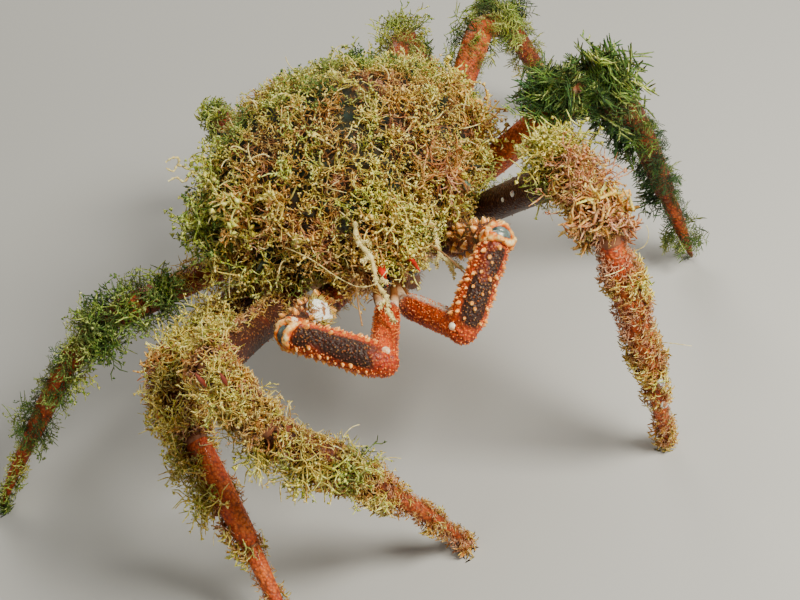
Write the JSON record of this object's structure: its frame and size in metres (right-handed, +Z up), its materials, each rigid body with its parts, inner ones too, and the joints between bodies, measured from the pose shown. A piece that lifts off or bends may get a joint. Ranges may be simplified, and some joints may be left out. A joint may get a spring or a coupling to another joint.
{
  "type": "european spider crab",
  "caption": "Still life-size model of a long-legged spider crab overgrown with weed, standing on its leg tips and feeding at its mouth with both claws.",
  "frame": {"origin": "on the floor, under the middle of the model's bounding box", "axes": "+Z up from the floor, the crab faces -Y, its own left side is +X"},
  "size_m": [0.3177, 0.2765, 0.1292],
  "materials": {
    "grown_shell": "rough spiny shell hidden under a matted turf of tan, straw and rust-brown weed and hydroids",
    "trunk_shell": "smooth, slightly glossy pale orange-brown underside",
    "leg_shell": "finely granular orange to dark brown shell with short fuzzy growth",
    "claw_shell": "granular glossy orange-red shell with cream tubercles",
    "eye": "glossy black"
  },
  "bodies": {
    "root": {"abdomen": "trunk_shell", "antenna_left": "leg_shell", "antenna_right": "leg_shell", "carapace": "grown_shell", "claw_left_base": "claw_shell", "claw_left_carpus": "claw_shell", "claw_left_finger": "claw_shell", "claw_left_merus": "claw_shell", "claw_left_palm": "claw_shell", "claw_right_base": "claw_shell", "claw_right_carpus": "claw_shell", "claw_right_finger": "claw_shell", "claw_right_merus": "claw_shell", "claw_right_palm": "claw_shell", "eye_left": "eye", "eye_right": "eye", "leg_1_left_base": "leg_shell", "leg_1_left_carpus": "leg_shell", "leg_1_left_dactylus": "leg_shell", "leg_1_left_merus": "leg_shell", "leg_1_left_propodus": "leg_shell", "leg_1_right_base": "leg_shell", "leg_1_right_carpus": "leg_shell", "leg_1_right_dactylus": "leg_shell", "leg_1_right_merus": "leg_shell", "leg_1_right_propodus": "leg_shell", "leg_2_left_base": "leg_shell", "leg_2_left_carpus": "leg_shell", "leg_2_left_dactylus": "leg_shell", "leg_2_left_merus": "leg_shell", "leg_2_left_propodus": "leg_shell", "leg_2_right_base": "leg_shell", "leg_2_right_carpus": "leg_shell", "leg_2_right_dactylus": "leg_shell", "leg_2_right_merus": "leg_shell", "leg_2_right_propodus": "leg_shell", "leg_3_left_base": "leg_shell", "leg_3_left_carpus": "leg_shell", "leg_3_left_dactylus": "leg_shell", "leg_3_left_merus": "leg_shell", "leg_3_left_propodus": "leg_shell", "leg_3_right_base": "leg_shell", "leg_3_right_carpus": "leg_shell", "leg_3_right_dactylus": "leg_shell", "leg_3_right_merus": "leg_shell", "leg_3_right_propodus": "leg_shell", "leg_4_left_base": "leg_shell", "leg_4_left_carpus": "leg_shell", "leg_4_left_dactylus": "leg_shell", "leg_4_left_merus": "leg_shell", "leg_4_left_propodus": "leg_shell", "leg_4_right_base": "leg_shell", "leg_4_right_carpus": "leg_shell", "leg_4_right_dactylus": "leg_shell", "leg_4_right_merus": "leg_shell", "leg_4_right_propodus": "leg_shell", "maxilliped_left": "trunk_shell", "maxilliped_right": "trunk_shell", "sternum": "trunk_shell"}
  },
  "joints": []
}
